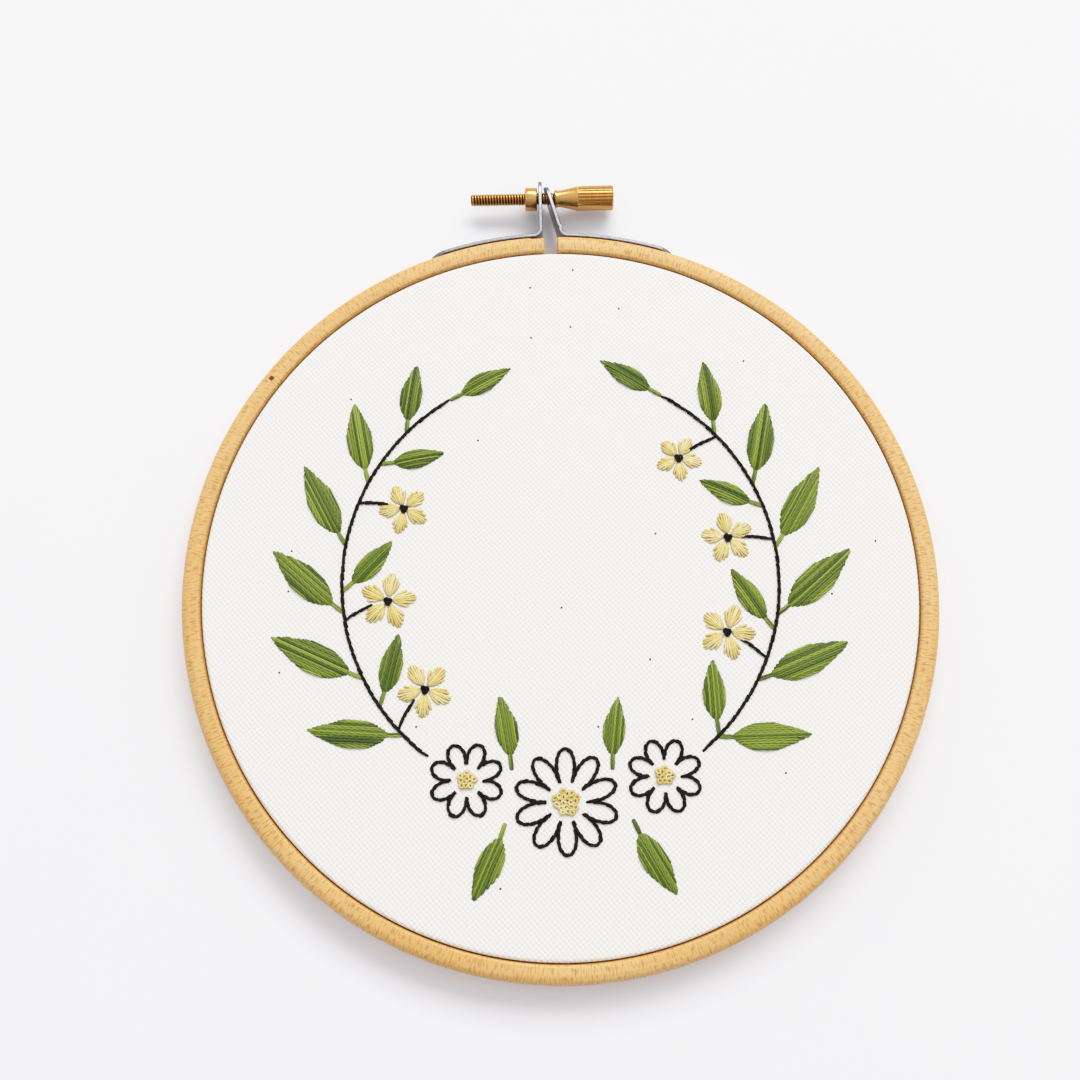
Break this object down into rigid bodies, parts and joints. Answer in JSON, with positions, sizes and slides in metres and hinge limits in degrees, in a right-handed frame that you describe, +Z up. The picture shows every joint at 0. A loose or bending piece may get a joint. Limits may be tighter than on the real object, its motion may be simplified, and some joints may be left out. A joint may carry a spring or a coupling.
{
  "type": "hoop embroidery art in a wooden embroidery hoop",
  "caption": "Round wooden embroidery hoop with a clamping screw, holding a taut cotton cloth stitched with a garland of leaves, blossoms and daisies.",
  "frame": {"origin": "centre of the footprint, on the surface that the hoop lies on", "axes": "+Z up out of the stitched face; +Y towards the clamping screw; +X to the right, seen from the front"},
  "size_m": [0.16, 0.175, 0.0095],
  "materials": {
    "wood": "bent beech lath, sanded and clear-sealed",
    "cloth": "unbleached plain-weave cotton with small dark flecks",
    "steel": "bright zinc-plated strip",
    "brass": "turned brass, fluted head",
    "dark_floss": "stranded cotton floss, stem stitch",
    "green_floss": "stranded cotton floss, satin stitch",
    "yellow_floss": "stranded cotton floss, satin stitch and knots"
  },
  "bodies": {
    "root": {"blossom_01": "yellow_floss", "blossom_02": "yellow_floss", "blossom_03": "yellow_floss", "blossom_04": "yellow_floss", "blossom_05": "yellow_floss", "blossom_06": "yellow_floss", "bracket_left": "steel", "bracket_right": "steel", "cloth": "cloth", "daisy_01": "dark_floss", "daisy_02": "dark_floss", "daisy_03": "dark_floss", "daisy_centre_01": "yellow_floss", "daisy_centre_02": "yellow_floss", "daisy_centre_03": "yellow_floss", "inner_ring": "wood", "leaf_01": "green_floss", "leaf_02": "green_floss", "leaf_03": "green_floss", "leaf_04": "green_floss", "leaf_05": "green_floss", "leaf_06": "green_floss", "leaf_07": "green_floss", "leaf_08": "green_floss", "leaf_09": "green_floss", "leaf_10": "green_floss", "leaf_11": "green_floss", "leaf_12": "green_floss", "leaf_13": "green_floss", "leaf_14": "green_floss", "leaf_15": "green_floss", "leaf_16": "green_floss", "leaf_17": "green_floss", "leaf_18": "green_floss", "leaf_19": "green_floss", "leaf_20": "green_floss", "leaf_21": "green_floss", "leaf_22": "green_floss", "leaf_23": "green_floss", "leaf_24": "green_floss", "nut": "brass", "outer_ring": "wood", "stem_left": "dark_floss", "stem_right": "dark_floss"},
    "thumb_screw": {"thumb_screw": "brass"}
  },
  "joints": [
    {"name": "screw_turn", "type": "hinge", "parent": "root", "child": "thumb_screw", "pos_m": [0.008, 0.0835, 0.0045], "axis": [1, 0, 0], "continuous": true}
  ]
}
